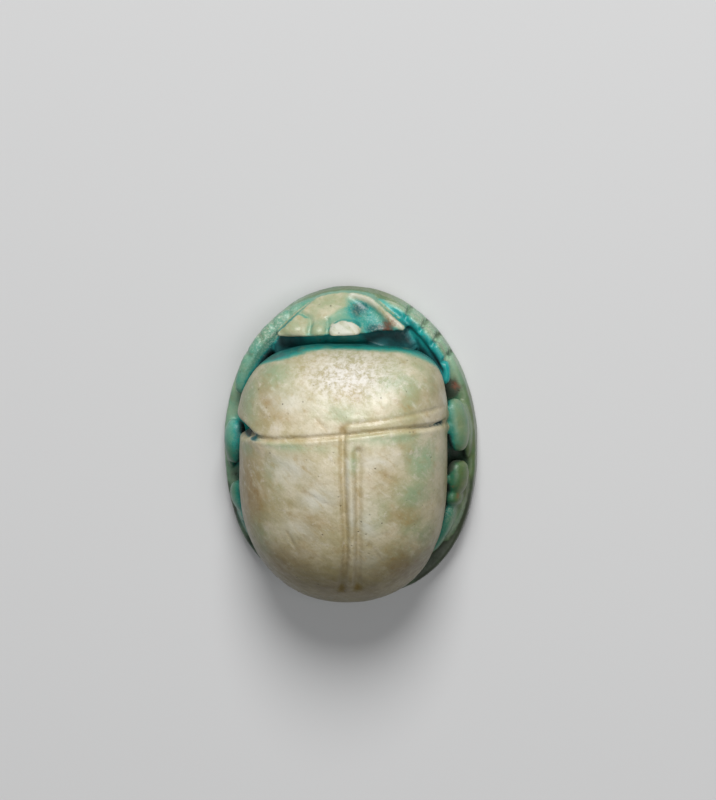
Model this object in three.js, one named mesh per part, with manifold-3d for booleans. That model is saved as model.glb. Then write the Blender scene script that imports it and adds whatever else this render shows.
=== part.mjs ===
// Scarab amulet: a dung beetle with folded legs on an oval base, carved from one piece of
// steatite and glazed. Millimetres, +Z up. It lies on its flat underside at z = 0, centred on
// the Z axis, with the head towards +Y.

import * as THREE from "three";
import { mergeVertices } from "three/addons/utils/BufferGeometryUtils.js";
import Module from "manifold-3d";

const wasm = await Module();
wasm.setup();

// Driving dimensions
const LENGTH = 16.2;
const WIDTH = 13.1;
const HEIGHT = 7.4;

// Base plate
const PLATE_HEIGHT = 1.25;
const PLATE_ROUNDING = 0.2;
const PLATE_TAIL_SQUARENESS = 2.3; // the front half is an ellipse, and the tail half a little squarer

// Back, one dome for the thorax and the wing cases
const BACK_CENTRE_Y = -1.1;
const BACK_FRONT_REACH = 6.72;
const BACK_REAR_REACH = 7;
const THORAX_LEFT_REACH = 5.7;
const THORAX_RIGHT_REACH = 5.36;
const WINGS_LEFT_REACH = 5.44;
const WINGS_RIGHT_REACH = 5.31;
const SHOULDER_LEFT = 3.1; // squareness of the corners: 2 is an ellipse's
const SHOULDER_RIGHT = 5;
const TAIL_SQUARENESS = 2.3;
const BACK_FULLNESS = 2.25;
const WAIST = 3.15; // height of the widest line of the back
const TAIL_DROP = 1; // how far that line comes down to the plate at the tail
const UNDERCUT = 1.1;

// Body behind the legs
const CORE_INSET = 1.62;

// Groove between thorax and wing cases, with a wedge-shaped notch at each end
const DIVIDE_Y = 1.62;
const DIVIDE_SLOPE = 0.07; // it runs forward towards the right
const DIVIDE_WIDTH = 0.3;
const DIVIDE_DEPTH = 0.17;
const NOTCH_LEFT = 1.15;
const NOTCH_RIGHT = 0.85;
const NOTCH_DEPTH = 0.75;

// Second line across the right half of the thorax
const BORDER_STEP = 0.64;
const BORDER_WIDTH = 0.18;
const BORDER_DEPTH = 0.09;

// Double line between the wing cases, right of the middle
const SUTURE_X = 0.82;
const SUTURE_SPACING = 0.76;
const SUTURE_WIDTH = 0.22;
const SUTURE_DEPTH = 0.14;

// Head
const HEAD_X = -0.14;
const HEAD_REAR_Y = 6.1;
const HEAD_REAR_SLANT = 0.075; // its rear edge runs forward towards the right
const HEAD_FRONT_Y = 8.05;
const HEAD_RIM_INSET = 0.08; // its front edge stays this far inside the plate's rim
const HEAD_REAR_LEFT_REACH = 3.68;
const HEAD_REAR_RIGHT_REACH = 3.5;
const HEAD_FRONT_HALF_WIDTH = 1.15;
const HEAD_REAR_HEIGHT = 3.35;
const HEAD_FRONT_HEIGHT = 1.5;
const HEAD_CROWN = 0.16;
const HEAD_SIDE_DROP = 0.35;
const HEAD_SQUARENESS = 11;
const NECK_HEIGHT = 2.1;

// Legs, by their place along the rim: where each starts and ends on the left and on the right
// side, in degrees towards the head, centre line in from the rim, height of the centre line, half
// width in plan and half height, narrowing, and rise of the outer side
const FRONT_SHIN = {
  left: [21, 81],
  right: [28, 81],
  inset: [0.66, 0.5],
  height: [2.05, 1.2],
  half: [0.74, 0.74],
  taper: 0.3,
  lean: 0.4,
};
const RIGHT_SHIN = { inset: [0.86, 0.62], half: [0.84, 0.74] }; // a little wider than the left
const HIND_LEG_SEGMENTS = [
  // middle thigh, and the shin folded under it
  {
    left: [10.5, -6], right: [21.5, 0],
    inset: [0.74, 0.74], height: [2.3, 2.25],
    half: [0.6, 0.7], taper: 0.05, lean: -0.2,
  },
  {
    left: [8.5, -8.5], right: [18.5, -3],
    inset: [0.42, 0.42], height: [1.5, 1.4],
    half: [0.32, 0.44], taper: 0.15, lean: 0,
  },
  // hind thigh, knee, long shin, and the foot along the rim below them
  {
    left: [-13, -26], right: [-3, -16],
    inset: [0.76, 0.78], height: [2.25, 2.15],
    half: [0.6, 0.72], taper: 0.05, lean: -0.2,
  },
  {
    left: [-24.5, -31], right: [-14.5, -21],
    inset: [0.8, 0.82], height: [2.15, 2.05],
    half: [0.52, 0.68], taper: 0, lean: -0.2,
  },
  {
    left: [-30, -53], right: [-20, -47],
    inset: [0.84, 0.66], height: [2.05, 1.55],
    half: [0.5, 0.62], taper: 0.45, lean: -0.2,
  },
  {
    left: [-19, -44], right: [-9, -38],
    inset: [0.42, 0.4], height: [1.45, 1.3],
    half: [0.3, 0.42], taper: 0.3, lean: 0,
  },
];
const LEG_BLUNTNESS = 0.6; // 1 gives a leg segment an ellipse's ends, and less blunter ones
const TOOTH_DEGREES = [37, 45.5, 53, 61.5];
const TOOTH_GAP = 0.17;

// A superellipse's point at an angle: n is 2 for an ellipse and more for squarer corners.
function superellipse(angle, halfX, halfY, n) {
  const c = Math.cos(angle);
  const s = Math.sin(angle);
  const reach = (Math.abs(c / halfX) ** n + Math.abs(s / halfY) ** n) ** (-1 / n);
  return new THREE.Vector2(reach * c, reach * s);
}

// A point of the plate's plan at an angle, from one on the unit circle.
function rimCurve(c, s) {
  const power = s < 0 ? 2 / PLATE_TAIL_SQUARENESS : 1;
  return new THREE.Vector2(Math.sign(c) * Math.abs(c) ** power, Math.sign(s) * Math.abs(s) ** power);
}

// Plan of the back about its centre.
function backOutline(angle) {
  const right = Math.cos(angle) > 0;
  const front = Math.sin(angle) > 0;
  const squareness = front ? (right ? SHOULDER_RIGHT : SHOULDER_LEFT) : TAIL_SQUARENESS;
  // the thorax is wider than the wing cases, and the step between them lies in the notches
  const thorax = THREE.MathUtils.smoothstep(Math.sin(angle), 0.33, 0.5);
  const wingsX = right ? WINGS_RIGHT_REACH : WINGS_LEFT_REACH;
  const thoraxX = right ? THORAX_RIGHT_REACH : THORAX_LEFT_REACH;
  const halfX = THREE.MathUtils.lerp(wingsX, thoraxX, thorax);
  const halfY = front ? BACK_FRONT_REACH : BACK_REAR_REACH;
  return superellipse(angle, halfX, halfY, squareness);
}

// How far out a point lies: 0 at the centre of the back and 1 on its outline.
function backShare(x, y) {
  const dy = y - BACK_CENTRE_Y;
  return Math.hypot(x, dy) / backOutline(Math.atan2(dy, x)).length();
}

function waistHeight(y) {
  return WAIST - TAIL_DROP * THREE.MathUtils.smoothstep(-y, 3.4, 8.2);
}

function backHeight(x, y) {
  const waist = waistHeight(y);
  return waist + (HEIGHT - waist) * Math.sqrt(1 - Math.min(1, backShare(x, y)) ** BACK_FULLNESS);
}

// The point of the back's surface at y, in the direction phi from vertical: negative is left.
function backPoint(y, phi) {
  let inner = 0;
  let outer = 1.2;
  const at = (r) => new THREE.Vector3(
    r * THORAX_LEFT_REACH * Math.sin(phi),
    y,
    WAIST + r * (HEIGHT - WAIST) * Math.cos(phi),
  );
  for (let i = 0; i < 30; i++) {
    const middle = (inner + outer) / 2;
    const { x, z } = at(middle);
    const inside = backShare(x, y) < 1 && z < backHeight(x, y);
    if (inside) inner = middle;
    else outer = middle;
  }
  return at(inner);
}

// A geometry's closed surface as a manifold-3d solid.
function solid(geometry) {
  const bare = geometry.clone();
  bare.deleteAttribute("normal");
  bare.deleteAttribute("uv");
  const merged = mergeVertices(bare, 1e-4);
  return new wasm.Manifold(
    new wasm.Mesh({
      numProp: 3,
      vertProperties: new Float32Array(merged.attributes.position.array),
      triVerts: new Uint32Array(merged.index.array),
    }),
  );
}

// Moves every vertex of a geometry to place(vertex).
function reshape(geometry, place) {
  const position = geometry.attributes.position;
  const vertex = new THREE.Vector3();
  for (let i = 0; i < position.count; i++) {
    vertex.fromBufferAttribute(position, i);
    const moved = place(vertex);
    position.setXYZ(i, moved.x, moved.y, moved.z);
  }
  return geometry;
}

// A unit sphere with its poles up and down.
function ball(spokes, rings) {
  return new THREE.SphereGeometry(1, spokes, rings).rotateX(Math.PI / 2);
}

function back() {
  return reshape(ball(54, 24), (vertex) => {
    const share = Math.min(1, Math.hypot(vertex.x, vertex.y));
    const reach = backOutline(Math.atan2(vertex.y, vertex.x));
    const x = share * reach.x;
    const y = BACK_CENTRE_Y + share * reach.y;
    const under = waistHeight(y) - UNDERCUT * Math.sqrt(1 - share ** 2);
    return new THREE.Vector3(x, y, vertex.z > -1e-6 ? backHeight(x, y) : under);
  });
}

// A closed block with flat sides: outline(angle) is its plan about centre, top(x, y) its upper
// surface, and the upper edge is rounded over within edge of the outline.
function block({ centre, outline, top, floor, edge, spokes, rings }) {
  return reshape(ball(spokes, rings), (vertex) => {
    const share = Math.sqrt(Math.min(1, Math.hypot(vertex.x, vertex.y)));
    const reach = outline(Math.atan2(vertex.y, vertex.x));
    const x = centre.x + share * reach.x;
    const y = centre.y + share * reach.y;
    const inward = THREE.MathUtils.clamp(((1 - share) * reach.length()) / edge, 0, 1);
    const rounding = edge * (1 - Math.sqrt(1 - (1 - inward) ** 2));
    return new THREE.Vector3(x, y, vertex.z > -1e-6 ? top(x, y) - rounding : floor);
  });
}

function basePlate() {
  const arc = (from, centreZ) =>
    [0, 1, 2].map((step) => {
      const angle = from + (step / 2) * (Math.PI / 2);
      return new THREE.Vector2(
        1 - (PLATE_ROUNDING / (WIDTH / 2)) * (1 - Math.cos(angle)),
        centreZ + PLATE_ROUNDING * Math.sin(angle),
      );
    });
  const profile = [
    new THREE.Vector2(0, 0),
    ...arc(-Math.PI / 2, PLATE_ROUNDING),
    ...arc(0, PLATE_HEIGHT - PLATE_ROUNDING),
    new THREE.Vector2(0, PLATE_HEIGHT),
  ];
  const round = new THREE.LatheGeometry(profile, 64).rotateX(Math.PI / 2);
  return reshape(round, (vertex) => {
    const share = Math.hypot(vertex.x, vertex.y) || 1;
    const { x, y } = rimCurve(vertex.x / share, vertex.y / share);
    return new THREE.Vector3((share * x * WIDTH) / 2, (share * y * LENGTH) / 2, vertex.z);
  });
}

// The recessed body between the plate and the back, behind the legs.
function core() {
  return block({
    centre: new THREE.Vector2(0, -0.9),
    outline: (angle) => superellipse(angle, WIDTH / 2 - CORE_INSET, 6.45, 2.4),
    top: () => WAIST + 0.5,
    floor: 0.6,
    edge: 0.05,
    spokes: 40,
    rings: 4,
  });
}

// A trapezium with rounded corners, its front cut along the plate's rim.
function headOutline(angle) {
  const unit = superellipse(angle, 1, 1, HEAD_SQUARENESS);
  const rearReach = unit.x > 0 ? HEAD_REAR_RIGHT_REACH : HEAD_REAR_LEFT_REACH;
  const middle = (rearReach + HEAD_FRONT_HALF_WIDTH) / 2;
  const taper = (rearReach - HEAD_FRONT_HALF_WIDTH) / 2;
  const halfLength = (HEAD_FRONT_Y - HEAD_REAR_Y) / 2;
  const x = unit.x * (middle - taper * unit.y);
  const slant = HEAD_REAR_SLANT * x * (0.5 - unit.y / 2);
  const across = (HEAD_X + x) / (WIDTH / 2);
  const rimY = (LENGTH / 2) * Math.sqrt(1 - across ** 2) - HEAD_RIM_INSET;
  const centreY = (HEAD_REAR_Y + HEAD_FRONT_Y) / 2;
  return new THREE.Vector2(x, Math.min(unit.y * halfLength + slant, rimY - centreY));
}

function headHeight(x, y) {
  const forward = THREE.MathUtils.clamp((y - HEAD_REAR_Y) / (HEAD_FRONT_Y - HEAD_REAR_Y), 0, 1);
  const slope = THREE.MathUtils.lerp(HEAD_REAR_HEIGHT, HEAD_FRONT_HEIGHT, forward);
  const across = ((x - HEAD_X) / HEAD_REAR_RIGHT_REACH) ** 2;
  return slope + HEAD_CROWN * Math.sin(forward * Math.PI) - HEAD_SIDE_DROP * across;
}

function head() {
  return block({
    centre: new THREE.Vector2(HEAD_X, (HEAD_REAR_Y + HEAD_FRONT_Y) / 2),
    outline: headOutline,
    top: headHeight,
    floor: 0.6,
    edge: 0.2,
    spokes: 36,
    rings: 10,
  });
}

function neck() {
  return block({
    centre: new THREE.Vector2(HEAD_X, 5.2),
    outline: (angle) => superellipse(angle, 3.6, 1.3, 4),
    top: () => NECK_HEIGHT,
    floor: 0.6,
    edge: 0.1,
    spokes: 24,
    rings: 4,
  });
}

// A rounded swelling on the head: centre, half sizes in plan, and how far it stands up.
function bump(x, y, halfX, halfY, rise) {
  const base = headHeight(x, y);
  return ball(14, 8).scale(halfX, halfY, rise + 0.5).translate(x, y, base - 0.5);
}

function headBumps() {
  return [
    bump(-2.72, 6.4, 0.66, 0.44, 0.2), // left cheek
    bump(-1.37, 6.38, 0.38, 0.36, 0.2),
    bump(0.04, 6.46, 0.82, 0.48, 0.3), // crown
  ];
}

// The hollow in the right half of the head, inside its raised rim.
function headHollow() {
  return ball(18, 10)
    .scale(1.55, 0.6, 0.5)
    .rotateX(THREE.MathUtils.degToRad(-37))
    .rotateZ(THREE.MathUtils.degToRad(-38))
    .translate(1.6, 6.55, headHeight(1.6, 6.55) + 0.12);
}

// A point above the plate's rim: angle from +X, inset from the outline, at a height.
function rimPoint(side, degrees, inset, height) {
  const angle = THREE.MathUtils.degToRad(degrees);
  const { x, y } = rimCurve(Math.cos(angle), Math.sin(angle));
  return new THREE.Vector3(side * (WIDTH / 2 - inset) * x, (LENGTH / 2 - inset) * y, height);
}

// A leg segment: a ball drawn out along the rim.
function legSegment(side, { left, right, inset, height, half, taper, lean }) {
  const mix = THREE.MathUtils.lerp;
  const degrees = side < 0 ? left : right;
  const path = (t) => rimPoint(side, mix(...degrees, t), mix(...inset, t), mix(...height, t));
  return reshape(ball(10, 10), (vertex) => {
    const t = 0.5 + vertex.z / 2;
    const ring = Math.min(1, Math.hypot(vertex.x, vertex.y)) ** LEG_BLUNTNESS;
    const turn = Math.atan2(vertex.y, vertex.x);
    const ahead = path(t + 0.01).sub(path(t - 0.01)).setZ(0).normalize();
    const sideways = new THREE.Vector3(-ahead.y, ahead.x, 0);
    const outward = Math.sign(sideways.x * side) || 1;
    const size = ring * (1 - taper * t);
    const across = size * Math.cos(turn) * half[0];
    const up = size * Math.sin(turn) * half[1] + lean * across * outward;
    return path(t).addScaledVector(sideways, across).add(new THREE.Vector3(0, 0, up));
  });
}

function legs() {
  return [-1, 1].flatMap((side) => {
    const shin = side < 0 ? FRONT_SHIN : { ...FRONT_SHIN, ...RIGHT_SHIN };
    const segments = [shin, ...HIND_LEG_SEGMENTS];
    return segments.map((segment) => legSegment(side, segment));
  });
}

// A V-shaped cutter that follows the back: at(t) gives y and phi, width(t) and depth(t) its size.
function groove({ at, width, depth, steps }) {
  const lift = 0.3;
  const stations = Array.from({ length: steps + 1 }, (_, i) => {
    const t = i / steps;
    const { y, phi } = at(t);
    const here = backPoint(y, phi);
    const alongY = backPoint(y + 0.05, phi).sub(backPoint(y - 0.05, phi));
    const alongX = backPoint(y, phi + 0.01).sub(backPoint(y, phi - 0.01));
    const up = new THREE.Vector3().crossVectors(alongX, alongY).normalize();
    return { here, up, width: width(t), depth: depth(t) };
  });
  const blade = new THREE.CylinderGeometry(1, 1, 1, 3, steps).rotateX(Math.PI / 2);
  return reshape(blade, (vertex) => {
    const index = Math.round(THREE.MathUtils.clamp(vertex.z + 0.5, 0, 1) * steps);
    const { here, up, width: across, depth: down } = stations[index];
    const before = stations[Math.max(index - 1, 0)].here;
    const after = stations[Math.min(index + 1, steps)].here;
    const ahead = after.clone().sub(before).normalize();
    const sideways = new THREE.Vector3().crossVectors(up, ahead).normalize();
    const halfTop = (across / 2) * (1 + lift / down);
    return here
      .clone()
      .addScaledVector(sideways, (vertex.x * halfTop) / Math.cos(Math.PI / 6))
      .addScaledVector(up, THREE.MathUtils.mapLinear(vertex.y, -1, 0.5, -down, lift));
  });
}

// The direction from vertical at which the back's surface has this x.
function phiAt(x, y) {
  return Math.atan2(x / THORAX_LEFT_REACH, (backHeight(x, y) - WAIST) / (HEIGHT - WAIST));
}

function dividingGrooves() {
  const mix = THREE.MathUtils.lerp;
  // 0 in the middle of the back and 1 at its widest line
  const ending = (t) => THREE.MathUtils.smoothstep(Math.abs(2 * t - 1), 0.66, 1);
  const notch = (t) => (t < 0.5 ? NOTCH_LEFT : NOTCH_RIGHT);
  const divide = groove({
    at: (t) => {
      const phi = mix(-1.75, 1.75, t);
      return { y: DIVIDE_Y + DIVIDE_SLOPE * 5 * Math.sin(phi), phi };
    },
    width: (t) => mix(DIVIDE_WIDTH, notch(t), ending(t)),
    depth: (t) => mix(DIVIDE_DEPTH, NOTCH_DEPTH, ending(t)),
    steps: 32,
  });
  const border = groove({
    at: (t) => {
      const phi = mix(0.06, 1.45, t);
      return { y: DIVIDE_Y + BORDER_STEP + DIVIDE_SLOPE * 5 * Math.sin(phi), phi };
    },
    width: () => BORDER_WIDTH,
    depth: () => BORDER_DEPTH,
    steps: 14,
  });
  return [divide, border];
}

function suture() {
  return [-0.5, 0.5].map((side) =>
    groove({
      at: (t) => {
        const y = THREE.MathUtils.lerp(DIVIDE_Y + (side < 0 ? 0.55 : -0.35), -7.35, t);
        const x = SUTURE_X + side * SUTURE_SPACING - 0.35 * t ** 4;
        return { y, phi: phiAt(x, y) };
      },
      width: () => SUTURE_WIDTH,
      depth: () => SUTURE_DEPTH,
      steps: 20,
    }),
  );
}

// Small notches between the teeth along the outer edge of each front shin.
function teeth() {
  return [-1, 1].flatMap((side) =>
    TOOTH_DEGREES.map((degrees) => {
      const at = rimPoint(side, degrees, side < 0 ? -0.02 : 0.14, 2.3);
      const notch = new THREE.CylinderGeometry(TOOTH_GAP, TOOTH_GAP, 1.5, 6).rotateX(Math.PI / 2);
      return notch.translate(at.x, at.y, at.z);
    }),
  );
}

function amuletGeometry() {
  const forms = [basePlate(), core(), back(), neck(), head(), ...headBumps(), ...legs()];
  const cuts = [...dividingGrooves(), ...suture(), headHollow(), ...teeth()];
  let body = solid(forms[0]);
  for (const form of forms.slice(1)) body = body.add(solid(form));
  for (const cut of cuts) body = body.subtract(solid(cut));
  const mesh = body.getMesh();
  const geometry = new THREE.BufferGeometry();
  geometry.setAttribute("position", new THREE.BufferAttribute(mesh.vertProperties, 3));
  geometry.setIndex(new THREE.BufferAttribute(mesh.triVerts, 1));
  geometry.computeVertexNormals();
  return geometry;
}

const glazedSteatite = new THREE.MeshStandardMaterial({
  color: new THREE.Color(0.72, 0.68, 0.54),
  roughness: 0.45,
  metalness: 0,
});

const scarab = new THREE.Mesh(amuletGeometry(), glazedSteatite);
scarab.name = "scarab";

const amulet = new THREE.Group();
amulet.add(scarab);

export default amulet;
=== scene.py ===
import math

import bmesh
import bpy
import numpy as np
from mathutils import Matrix, Vector, noise
from mathutils.bvhtree import BVHTree


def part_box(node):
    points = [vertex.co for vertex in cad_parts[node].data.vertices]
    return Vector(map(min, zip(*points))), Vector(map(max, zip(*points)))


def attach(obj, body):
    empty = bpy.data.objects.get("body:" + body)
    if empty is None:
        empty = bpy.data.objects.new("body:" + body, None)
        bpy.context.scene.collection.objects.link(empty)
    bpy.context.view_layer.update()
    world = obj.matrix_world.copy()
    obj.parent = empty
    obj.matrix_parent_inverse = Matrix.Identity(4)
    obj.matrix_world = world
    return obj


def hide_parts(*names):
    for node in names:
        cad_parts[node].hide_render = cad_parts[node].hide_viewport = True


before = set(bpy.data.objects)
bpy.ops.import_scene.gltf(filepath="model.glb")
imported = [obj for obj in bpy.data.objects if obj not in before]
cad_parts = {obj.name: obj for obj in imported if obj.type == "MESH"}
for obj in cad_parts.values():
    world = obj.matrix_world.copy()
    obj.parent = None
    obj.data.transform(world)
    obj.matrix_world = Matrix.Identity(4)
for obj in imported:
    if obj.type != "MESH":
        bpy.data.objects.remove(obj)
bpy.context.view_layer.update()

# The carving is worked out in millimetres, with the head towards +Y and the underside at z = 0.
MM = 0.001
low, high = (np.array(corner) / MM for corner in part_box("scarab"))
WIDTH, LENGTH, HEIGHT = high - low

# Base plate
PLATE_HEIGHT = 1.25
PLATE_ROUNDING = 0.2
PLATE_TAIL_SQUARENESS = 2.4

# Back, one dome for the thorax and the wing cases
BACK_CENTRE_Y = -1.1
BACK_REACH_FRONT = 6.72
BACK_REACH_REAR = 7
THORAX_REACH_LEFT = 5.7
THORAX_REACH_RIGHT = 5.36
WINGS_REACH_LEFT = 5.44
WINGS_REACH_RIGHT = 5.31
SHOULDER_LEFT = 3.1
SHOULDER_RIGHT = 5
TAIL_SQUARENESS = 2.3
BACK_FULLNESS = 2.25
WAIST = 3.15
TAIL_DROP = 1
UNDERCUT = 1.1

# Level inside the base plate from which the body, the neck and the head rise
BURIED_FLOOR = 0.6

# Body behind the legs
CORE_INSET = 1.62
CORE_CENTRE_Y = -0.9
CORE_HALF_LENGTH = 6.45
CORE_SQUARENESS = 2.4

# Lines of the back, as points (x, y) over it: the groove between thorax and wing cases, the
# border above it, and the double line between the wing cases
DIVIDE_LINE = ((-5.4, 1.36), (-4, 1.25), (-1.9, 1.45), (0.4, 1.7), (3.3, 1.97), (5.3, 1.84))
BORDER_LINE = ((0.42, 2.2), (2.2, 2.44), (4.1, 2.66), (5.3, 2.7))
SUTURE_LEFT = ((0.4, 2.3), (0.4, 1.2), (0.5, -2), (0.52, -4.4), (0.3, -6), (0.05, -7))
SUTURE_RIGHT = ((1.2, 1.25), (1.22, -2), (1.18, -4.4), (1.02, -6.2), (0.9, -6.9))
SUTURE_RIDGE = ((0.82, 1.3), (0.86, -2), (0.86, -4.4), (0.66, -6.2), (0.5, -6.9))

# Rubbed patch on the thorax: centre and radii in plan
WORN_PATCH = ((0.5, 4.5), (2.3, 1.05))

# Fine diagonal scratches over the back, as pairs of points (x, y)
SCRATCHES = (
    ((1.6, -3.65), (2.47, -5.2)), ((-1.9, -1.09), (0.25, -2.13)), ((-2.6, -3.3), (-1.98, -4.5)),
    ((2.77, 3.6), (3.8, 2.7)), ((2.3, -0.2), (3.3, -0.9)), ((-1.2, 2.6), (-0.2, 1.75)),
)

# Wedge-shaped notches where the groove runs out, each by its side, its place along the edge, how
# far in it starts, its width and its depth
NOTCHES = (
    dict(side=-1, y=1.33, start=3.9, width=1.05, depth=0.85),
    dict(side=1, y=1.72, start=4.7, width=0.6, depth=0.5),
)

# Head
HEAD_X = -0.14
HEAD_REAR_Y = 6.1
HEAD_REAR_SLANT = 0.075
HEAD_FRONT_Y = 8.05
HEAD_RIM_INSET = 0.08
HEAD_REAR_REACH_LEFT = 3.68
HEAD_REAR_REACH_RIGHT = 3.5
HEAD_FRONT_HALF_WIDTH = 1.15
HEAD_REAR_HEIGHT = 3.35
HEAD_FRONT_HEIGHT = 1.5
HEAD_CROWN = 0.16
HEAD_SIDE_DROP = 0.35
HEAD_SQUARENESS = 11

# Neck, the floor of the trench between head and thorax
NECK_CENTRE_Y = 5.2
NECK_HALF_WIDTH = 3.6
NECK_HALF_LENGTH = 1.3
NECK_SQUARENESS = 4
NECK_HEIGHT = 2.1

# Relief on the head, and its lines as points (x, y) over it
CHEEK = dict(centre=(-2.75, 6.42), radii=(0.8, 0.5))
CHEEK_RISE = 0.2
BUMP = dict(centre=(-1.37, 6.38), radii=(0.46, 0.42))
BUMP_RISE = 0.16
CROWN = dict(centre=(0.0, 6.34), radii=(0.8, 0.52))
CROWN_RISE = 0.3
HOLLOW = dict(centre=(1.3, 6.84), radii=(1.65, 0.6), turn=math.radians(-36))
HOLLOW_DEPTH = 0.42
CHEEK_LINE = ((-2.75, 7.22), (-2.2, 7.02), (-1.85, 6.85), (-1.84, 6.1))
CROWN_LINE = ((-0.95, 6.85), (-0.88, 6.5), (-0.88, 6.1))
HEAD_RIDGE = ((0.2, 7.95), (1.05, 7.75), (2.1, 7.12), (3.22, 6.28))

# Legs, by their place along the rim: where each starts and ends on the left and on the right
# side, in degrees towards the head, centre line in from the rim, height of the centre line, half
# width in plan and half height, narrowing, and rise of the outer side
FRONT_SHINS = (
    dict(left=(21, 81), inset=(0.66, 0.5), height=(2.05, 1.2), half=(0.74, 0.74), taper=0.3, lean=0.4),
    dict(right=(28, 81), inset=(0.86, 0.62), height=(2.05, 1.2), half=(0.84, 0.74), taper=0.3, lean=0.4),
)
HIND_LEG_SEGMENTS = (
    # middle thigh, and the shin folded under it
    dict(left=(10.5, -6), right=(21.5, 0), inset=(0.74, 0.74), height=(2.3, 2.25),
         half=(0.6, 0.7), taper=0.05, lean=-0.2),
    dict(left=(8.5, -8.5), right=(18.5, -3), inset=(0.42, 0.42), height=(1.5, 1.4),
         half=(0.32, 0.44), taper=0.15, lean=0),
    # hind thigh, knee, long shin, and the foot along the rim below them
    dict(left=(-13, -26), right=(-3, -16), inset=(0.76, 0.78), height=(2.25, 2.15),
         half=(0.6, 0.72), taper=0.05, lean=-0.2),
    dict(left=(-24.5, -31), right=(-14.5, -21), inset=(0.8, 0.82), height=(2.15, 2.05),
         half=(0.52, 0.68), taper=0, lean=-0.2),
    dict(left=(-30, -53), right=(-20, -47), inset=(0.84, 0.66), height=(2.05, 1.55),
         half=(0.5, 0.62), taper=0.45, lean=-0.2),
    dict(left=(-19, -44), right=(-9, -38), inset=(0.42, 0.4), height=(1.45, 1.3),
         half=(0.3, 0.42), taper=0.3, lean=0),
)
LEG_RUN_SQUARENESS = 2.2
LEG_BLUNTNESS = 0.6

# Gaps between the teeth of the front shins, by their place along the rim
TOOTH_DEGREES = (37, 45.5, 53, 61.5)
TOOTH_GAP = 0.3
TOOTH_DEPTH = 0.22

# Patches of tan, of green and of pale chalk on the bare stone, each by its centre and radii in plan
# and its strength
TAN_PATCHES = (
    ((-3.6, 3.1), (0.6, 1.1), 0.7), ((-4.4, -1.6), (0.8, 2.2), 0.85), ((4.0, 3.4), (1.5, 1.0), 0.4),
    ((-3.0, -5.4), (1.6, 1.1), 0.6), ((3.4, -5.4), (1.4, 1.4), 0.7), ((-1.0, -2.9), (0.7, 0.6), 0.6),
    ((0.4, -6.8), (2.4, 0.8), 0.5), ((3.3, -2.6), (0.9, 0.6), 0.6), ((-3.0, 2.5), (1.2, 0.5), 0.4),
    ((-1.6, 0.2), (0.8, 0.6), 0.35), ((2.6, -0.7), (0.9, 0.7), 0.35), ((-1.9, -4.4), (0.7, 0.6), 0.4),
    ((0.9, 3.6), (0.8, 0.5), 0.4),
)
GREEN_PATCHES = (
    ((4.4, 0.2), (0.8, 1.3), 1), ((4.0, -1.5), (0.9, 0.9), 0.9), ((-4.0, -4.2), (0.8, 1.3), 0.75),
    ((-3.6, 4.4), (1.1, 0.8), 1), ((3.4, 4.0), (1.6, 1.2), 0.9), ((-4.7, 0.5), (0.6, 0.4), 0.9),
    ((0.98, 0.3), (0.22, 0.9), 0.8), ((2.8, 1.5), (1.9, 0.3), 0.8), ((4.0, -4.0), (1.0, 1.4), 0.7),
    ((0.3, 2.7), (1.4, 0.6), 0.5), ((1.0, 6.2), (4.5, 0.9), 0.6), ((2.3, -2.4), (0.8, 1.0), 0.5),
    ((-3.2, -0.6), (0.8, 0.9), 0.4), ((-4.7, 3.2), (0.7, 1.6), 0.8), ((-2.5, 1.0), (2.2, 0.22), 0.7),
    ((3.6, 3.2), (1.4, 0.8), 0.6),
)
CHALK_PATCHES = (
    ((-2.3, -0.1), (1.1, 0.8), 0.8), ((-0.9, -1.6), (0.9, 0.7), 0.9), ((0.7, -0.2), (0.12, 0.9), 0.9),
    ((0.9, -2.4), (0.12, 0.8), 0.9), ((-2.6, 3.2), (1.2, 0.6), 0.6), ((1.6, -3.0), (0.5, 0.7), 0.8),
    ((-1.9, -3.3), (1.0, 0.6), 0.6), ((1.7, -4.9), (0.8, 0.6), 0.6), ((2.2, 0.4), (0.8, 0.4), 0.5),
)

# Rusty stains, by their place and radius
STAINS = (
    ((2.2, 6.5, 2.6), 0.6), ((5.52, 3.2, 1.25), 0.3), ((5.85, -2.3, 2.6), 0.2), ((5.6, -1.7, 2.7), 0.2),
)

# Single places of wear, a painted highlight and a painted shadow, by their centre and radius
FROST_BY_HEAD = ((-3.9, 6.1, 1.9), 1.3)
# painted highlight on the right hind foot, drawn with pale flecks
PAINTED_HIGHLIGHT_ON_FOOT = ((5.3, -3.3, 2.5), 0.45)
CHALK_ON_SHOULDER = ((5.2, 3.0, 3.6), 0.45)
# painted shadow in the gap under the right shoulder
PAINTED_SHADOW_UNDER_SHOULDER = ((5.1, 3.1, 1.3), 0.62)

# Fineness of the carved surface
VOXEL = 0.0942

# Colours as 0 to 255 on a screen: the bare stone, and what lies on it
SAND = (180, 170, 134)
CREAM = (206, 196, 170)
GREENED_STONE = (146, 172, 138)
TAN = (158, 132, 82)
TAN_STREAK = (166, 144, 98)
PALE_STREAK = (216, 208, 192)
PALE_BLOT = (214, 206, 190)
GRAIN = (150, 136, 100)
CHALK = (212, 213, 204)
# white flecks of the rubbed patch, partly painted glints
RUBBED_STONE_AND_GLINT = (236, 232, 226)
POCK = (128, 112, 92)
PIT = (70, 58, 40)
# olive tint, also painted shade towards the tail and the sides
SOIL_AND_SHADE = (150, 144, 104)
# dark grime, also painted shade along the rear of the rim and in the gaps between parts
DIRT_AND_SHADE = (48, 54, 40)
RUST = (112, 66, 44)

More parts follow.
